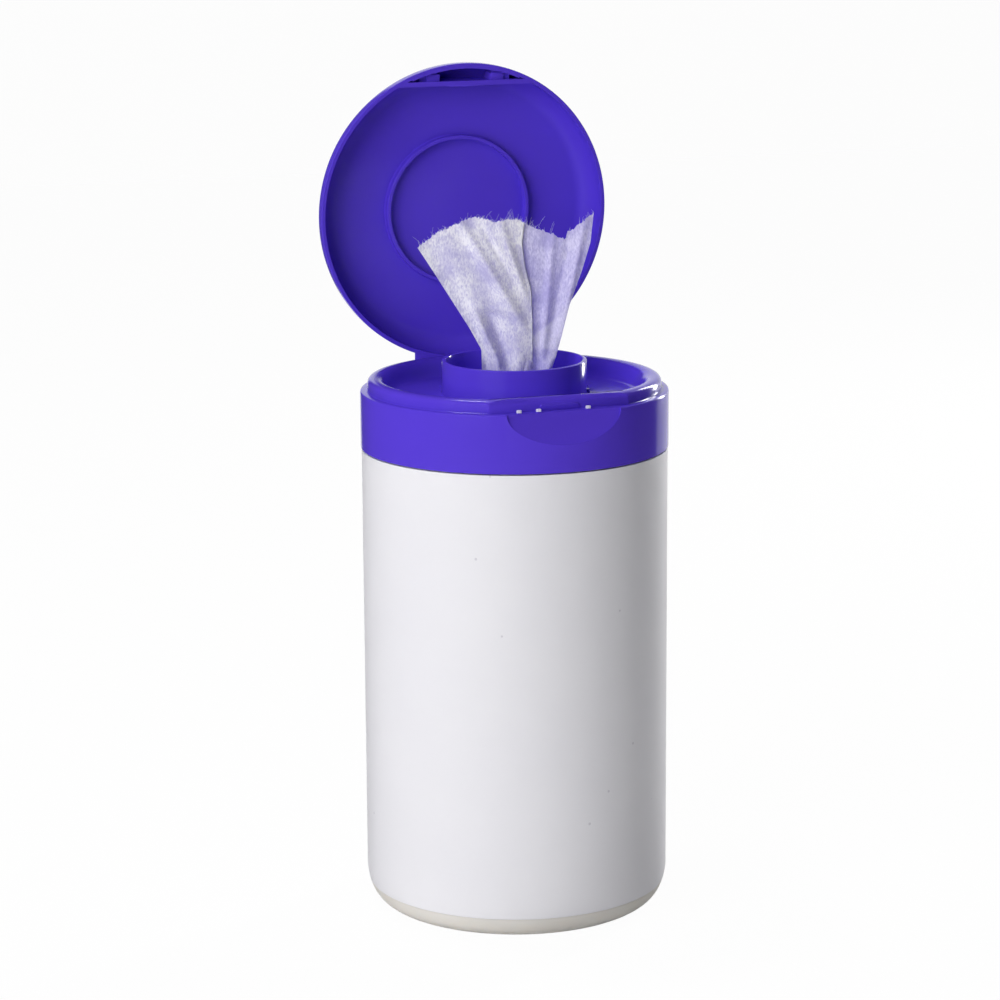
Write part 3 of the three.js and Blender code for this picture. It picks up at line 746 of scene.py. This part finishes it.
def wipe_point(u, v, rough):
    """A point of the sheet: u runs from its left edge to its right, v from its foot to where it is torn."""
    top = along(WIPE_TOP, spread(u, WIPE_TOP[0][0], WIPE_TOP[-1][0], WIPE_FOLD[-1][1])[0])
    base = WIPE_FOOT + (top - WIPE_FOOT) * v
    across, layer = spread(u, *(along(table, base) for table in (WIPE_LEFT, WIPE_RIGHT, WIPE_FOLD)))
    open_up = min(1, max(0, (base - OPENS_AT) / OPENS_OVER))
    height = base + rough
    gathers = math.sin(u * 26 + 1.3 * math.sin(5 * u)) * (0.35 + 3.2 * (1 - open_up))
    bow = 1.2 * math.sin(math.pi * u) * open_up
    depth = layer * open_up * 0.8 + gathers - crest_depth(across, height) - bow + 1.0
    x, y = across, max(WIPE_FRONT, min(WIPE_BACK, depth))
    if base < STRAND_TOP:
        size = math.hypot(x, y)
        if size > STRAND_RADIUS:
            x, y = x * STRAND_RADIUS / size, y * STRAND_RADIUS / size
    turn = CAMERA_AZIMUTH
    return Vector((x * math.cos(turn) - y * math.sin(turn),
                   x * math.sin(turn) + y * math.cos(turn), height)) * MM


def make_wipe():
    draw = random.Random(7)
    ragged = [draw.uniform(-0.55, 0.45) for _ in range(WIPE_ACROSS + 1)]
    nothing_selected()
    bpy.ops.mesh.primitive_grid_add(x_subdivisions=WIPE_ACROSS, y_subdivisions=WIPE_UP, size=2)
    sheet = bpy.context.object
    sheet.name = "pulled_wipe_sheet"
    for vertex in sheet.data.vertices:
        u, v = (vertex.co.x + 1) / 2, (vertex.co.y + 1) / 2
        vertex.co = wipe_point(u, v, ragged[round(u * WIPE_ACROSS)] * max(0, v * 8 - 7))
    only(sheet)
    bpy.ops.object.shade_smooth()
    return sheet


# Loose fibres: where along the torn edge they stand in tufts, and how thick each one is drawn
FIBRE_COUNT = 210
FIBRE_RADIUS = 0.035
TUFTS = (0.12, 0.3, 0.36, 0.56, 0.7, 0.97)


def make_fibres():
    """Loose fibres that stand out of the torn edge, each a fine thread with a bend in it."""
    draw = random.Random(11)
    nothing_selected()
    bpy.ops.curve.primitive_nurbs_path_add()
    fibres = bpy.context.object
    fibres.name = "wipe_torn_fibres"
    fibres.data.splines.clear()
    fibres.data.bevel_depth = FIBRE_RADIUS * MM
    fibres.data.bevel_resolution = 0
    for k in range(FIBRE_COUNT):
        u = draw.random() if k % 3 else draw.choice(TUFTS) + draw.uniform(-0.02, 0.02)
        u = min(1, max(0, u))
        root, lower = wipe_point(u, 1, -0.6), wipe_point(u, 0.96, -0.6)
        way = (root - lower).normalized()
        lean = Vector((draw.uniform(-0.9, 0.9), draw.uniform(-0.5, 0.5), draw.uniform(-0.3, 0.3)))
        long = draw.uniform(0.6, 1.7) * MM * (2.6 if k % 8 == 0 else 1)
        thread = fibres.data.splines.new("POLY")
        thread.points.add(3)
        for i, point in enumerate(thread.points):
            t = i / 3
            point.co = (*(root + (way * t + lean * t * t * 0.8) * long), 1)
    only(fibres)
    bpy.ops.object.convert(target="MESH")
    return applied(bpy.context.object)


# Floor, backdrop, light and world
def white_paper():
    """White paper sweep: white to the camera and in mirror images, and it keeps a faint shadow."""
    material, shader = new_material("white_paper_sweep")
    tree = material.node_tree
    tree.nodes.remove(shader)
    path = add_node(material, "ShaderNodeLightPath")
    mirrored = add_node(material, "ShaderNodeMath", {"operation": "MAXIMUM"},
                        links={0: path.outputs["Is Camera Ray"], 1: path.outputs["Is Glossy Ray"]})
    seen = add_node(material, "ShaderNodeMath", {"operation": "MAXIMUM"},
                    links={0: mirrored.outputs[0], 1: path.outputs["Is Transmission Ray"]})
    share = add_node(material, "ShaderNodeMath", {"operation": "MULTIPLY"}, {1: 0.97}, {0: seen.outputs[0]})
    paper = add_node(material, "ShaderNodeBsdfDiffuse", values={"Color": linear("#FFFFFF")})
    white = add_node(material, "ShaderNodeEmission", values={"Strength": 1.0})
    mixed = add_node(material, "ShaderNodeMixShader",
                     links={0: share.outputs[0], 1: paper.outputs[0], 2: white.outputs[0]})
    feed(material, mixed.outputs[0], tree.nodes["Material Output"].inputs["Surface"])
    return material


def make_stage():
    paper = white_paper()
    nothing_selected()
    bpy.ops.mesh.primitive_plane_add(size=6, location=(0, 0, -0.0005))
    floor = bpy.context.object
    floor.name = "floor_sheet"
    bpy.ops.mesh.primitive_plane_add(size=6, location=(3.05, 2.4, 1.5), rotation=(math.radians(90), 0, 0))
    backdrop = bpy.context.object
    backdrop.name = "backdrop_sheet"
    for sheet in (floor, backdrop):
        applied(sheet)
        sheet.data.materials.append(paper)
    # The skirt and the lid would mirror a white floor, and in the photo they are deep violet
    floor.visible_glossy = False


def area_light(name, place, size, power):
    """A soft box that faces the canister's middle."""
    bpy.ops.object.light_add(type="AREA", location=place)
    light = bpy.context.object
    light.name = name
    light.data.shape = "RECTANGLE"
    light.data.size, light.data.size_y = size
    light.data.energy = power
    light.rotation_euler = (Vector((0, 0, 0.17)) - Vector(place)).to_track_quat("-Z", "Y").to_euler()
    return light


def make_lights():
    nothing_selected()
    key = area_light("key_softbox", (-1.25, -0.85, 0.75), (1.2, 1.2), 21)
    # No mirror image of the key stands on the collar and the skirt in the photo
    key.visible_glossy = False
    area_light("right_softbox", (1.16, 0.69, 0.5), (0.16, 0.9), 11)
    area_light("top_softbox", (-0.25, 0.3, 1.4), (0.25, 0.25), 5)
    world = bpy.data.worlds.new("studio_world")
    bpy.context.scene.world = world
    world.use_nodes = True
    path = add_node(world, "ShaderNodeLightPath")
    level = add_node(world, "ShaderNodeMapRange", values={"To Min": 0.06, "To Max": 1.0},
                     links={"Value": path.outputs["Is Camera Ray"]})
    feed(world, level.outputs[0], world.node_tree.nodes["Background"].inputs["Strength"])
    world.node_tree.nodes["Background"].inputs["Color"].default_value = (1, 1, 1, 1)


def finish_piece(piece, material, body, node):
    """Gives a piece its material, slot and body. A piece between two bodies rides none."""
    piece.data.materials.clear()
    piece.data.materials.append(material)
    if body:
        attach(piece, body)
    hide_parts(node)


bpy.context.scene.view_settings.view_transform = "Standard"
place_camera()
violet = violet_polypropylene()
fabric = nonwoven("nonwoven_spunlace_roll", 0.0)

finish_piece(make_canister(), natural_polyethylene(), "canister", "canister")
finish_piece(make_label(), label_film(), "canister", "label_sleeve")
finish_piece(make_closure(), violet, "closure", "closure")
finish_piece(make_lid(), violet, "lid", "lid")
strap = make_hinge_strap()
finish_piece(strap, violet, None, "hinge_strap")
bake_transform(strap)
wipe = make_wipe()
fibres = make_fibres()
finish_piece(wipe, nonwoven("nonwoven_spunlace_wipe", 0.2), "closure", "pulled_wipe")
finish_piece(fibres, fabric, "closure", "pulled_wipe")
# The wipe and its fibres get meshes of their own; a shut lid would press the wipe down on the deck
for cloth in (wipe, fibres):
    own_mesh(cloth)
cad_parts["wipes_roll"].data.materials.clear()
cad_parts["wipes_roll"].data.materials.append(fabric)

make_stage()
make_lights()
